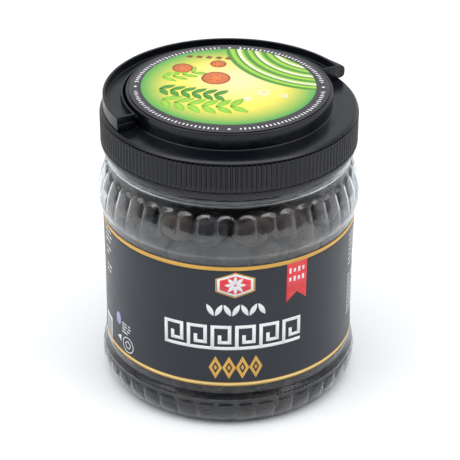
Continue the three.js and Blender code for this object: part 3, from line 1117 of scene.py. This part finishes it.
class OLIVEJAR_OT_handle(bpy.types.Operator):
    """Moulds the folding handle: half a ring of channel with closed ends"""

    bl_idname = "olivejar.handle"
    bl_label = "Carrying Handle"

    def execute(self, context):
        settings = context.scene.olivejar_cap
        section = filleted([
            (54.5, 134.4, 0.25), (55.9, 134.4, 0.3), (55.9, 135.6, 0), (55.9, 136.9, 0),
            (55.9, 138.2, 0), (55.9, 139.4, 0), (55.9, 140.6, 0.45), (54.6, 140.6, 0.35),
            (54.5, 137.1, 0.5), (47.8, 137.1, 0.5), (47.7, 140.6, 0.25), (46.9, 140.6, 0.25),
            (46.9, 134.4, 0.25), (47.8, 134.4, 0.25), (47.8, 135.9, 0.4), (54.5, 135.9, 0.4),
        ], closed=True)
        reach = math.radians(1.5)
        bm = swept(section, HANDLE_COLUMNS, -reach, math.pi + 2 * reach, closed=True)
        finger_tab(bm)
        handle_blocks(bm)
        bmesh.ops.recalc_face_normals(bm, faces=bm.faces)
        turn = Matrix.Rotation(HINGE_TURN, 3, "Z")
        bmesh.ops.rotate(bm, verts=bm.verts, cent=(0, 0, 0), matrix=turn)
        plastic = moulded_plastic("handle_plastic", settings.plastic, 0.31)
        piece("bail_handle", bm, plastic, HANDLE_BODY, ["handle"], sharp=50)
        return {"FINISHED"}


# The stage

def add_softbox(name, place, target, size, power):
    """A large soft lamp."""
    lamp = bpy.data.lights.new(name, "AREA")
    lamp.shape = "RECTANGLE"
    lamp.size, lamp.size_y = size
    lamp.energy = power
    made = placed(name, lamp)
    made.location = place
    made.rotation_euler = (Vector(target) - Vector(place)).to_track_quat("-Z", "Y").to_euler()


def add_camera(settings):
    """The camera at the photograph's angle."""
    target = Vector((0.583, 0, 69.5)) * MM
    data = bpy.data.cameras.new("camera")
    data.lens = settings.lens
    data.sensor_width = 36
    data.clip_start = 0.01
    made = placed("camera", data)
    back = Vector((0, -math.cos(settings.elevation), math.sin(settings.elevation)))
    made.location = target + back * settings.distance
    aim = (-back).to_track_quat("-Z", "Y").to_matrix() @ Matrix.Rotation(settings.roll, 3, "Z")
    made.rotation_euler = aim.to_euler()
    bpy.context.scene.camera = made


def add_floor(colour):
    """A wide plain floor."""
    bm = bmesh.new()
    bmesh.ops.create_grid(bm, x_segments=1, y_segments=1, size=4)
    mesh_object("floor", bm, floor_paint(colour))


def add_room(back, side, front):
    """Soft light from a white room whose front, behind the photographer, is darker."""
    world = bpy.data.worlds.new("white_room")
    world.use_nodes = True
    tree = world.node_tree
    direction = add_node(tree, "ShaderNodeTexCoord").outputs["Generated"]
    depth = add_node(tree, "ShaderNodeSeparateXYZ", {0: direction}).outputs[1]
    toward_side, toward_back = (
        add_node(tree, "ShaderNodeMapRange", {
            "Value": depth, "From Min": start, "From Max": end, "To Min": low, "To Max": high,
        }, interpolation_type="SMOOTHSTEP").outputs["Result"]
        for start, end, low, high in ((-0.85, -0.35, front, side), (-0.1, 0.6, 0, back - side))
    )
    set_inputs(tree, tree.nodes["Background"], {
        "Color": (0.95, 0.975, 1, 1), "Strength": math_node(tree, "ADD", toward_side, toward_back),
    })
    bpy.context.scene.world = world


class OLIVEJAR_OT_stage(bpy.types.Operator):
    """Sets the floor, the soft light and the camera"""

    bl_idname = "olivejar.stage"
    bl_label = "Stage"

    def execute(self, context):
        settings = context.scene.olivejar_stage
        add_camera(settings)
        add_floor(settings.floor)
        add_room(0.85, 0.46, 0.03)
        add_softbox("top_panel", (0, 0.1, 2.2), (0, 0, 0), (4.2, 2.2), 35)
        add_softbox("key_box", (0, -0.62, 1.5), (0, 0, 0.07), (2.6, 0.7), 12.5)
        add_softbox("left_box", (-1.4, -0.6, 1.1), (0, 0, 0.07), (1.2, 1.1), 6)
        add_softbox("right_box", (1.4, -0.6, 1.1), (0, 0, 0.07), (1.2, 1.1), 6)
        context.scene.view_settings.view_transform = "Standard"
        return {"FINISHED"}


class OLIVEJAR_PT_panel(bpy.types.Panel):
    """Lists the steps that build the jar"""

    bl_label = "Olive Jar"
    bl_idname = "OLIVEJAR_PT_panel"
    bl_space_type = "VIEW_3D"
    bl_region_type = "UI"
    bl_category = "Olive Jar"

    def draw(self, context):
        for operator in OPERATORS:
            self.layout.operator(operator.bl_idname)


SETTINGS = {
    "olivejar_jar": JarSettings,
    "olivejar_sleeve": SleeveSettings,
    "olivejar_cap": CapSettings,
    "olivejar_disc": DiscSettings,
    "olivejar_olives": OliveSettings,
    "olivejar_stage": StageSettings,
}
OPERATORS = (
    OLIVEJAR_OT_stage,
    OLIVEJAR_OT_clear_jar,
    OLIVEJAR_OT_olives,
    OLIVEJAR_OT_sleeve,
    OLIVEJAR_OT_sleeve_print,
    OLIVEJAR_OT_cap,
    OLIVEJAR_OT_disc,
    OLIVEJAR_OT_disc_print,
    OLIVEJAR_OT_handle,
)
CLASSES = (*SETTINGS.values(), *OPERATORS, OLIVEJAR_PT_panel)


def register():
    """Registers the settings, the operators and the panel."""
    for item in CLASSES:
        bpy.utils.register_class(item)
    for name, group in SETTINGS.items():
        setattr(bpy.types.Scene, name, PointerProperty(type=group))


def unregister():
    """Takes them out again."""
    for name in SETTINGS:
        delattr(bpy.types.Scene, name)
    for item in reversed(CLASSES):
        bpy.utils.unregister_class(item)


def main():
    """Builds every piece in order."""
    register()
    for operator in OPERATORS:
        group, name = operator.bl_idname.split(".")
        getattr(getattr(bpy.ops, group), name)()


if __name__ == "__main__":
    main()
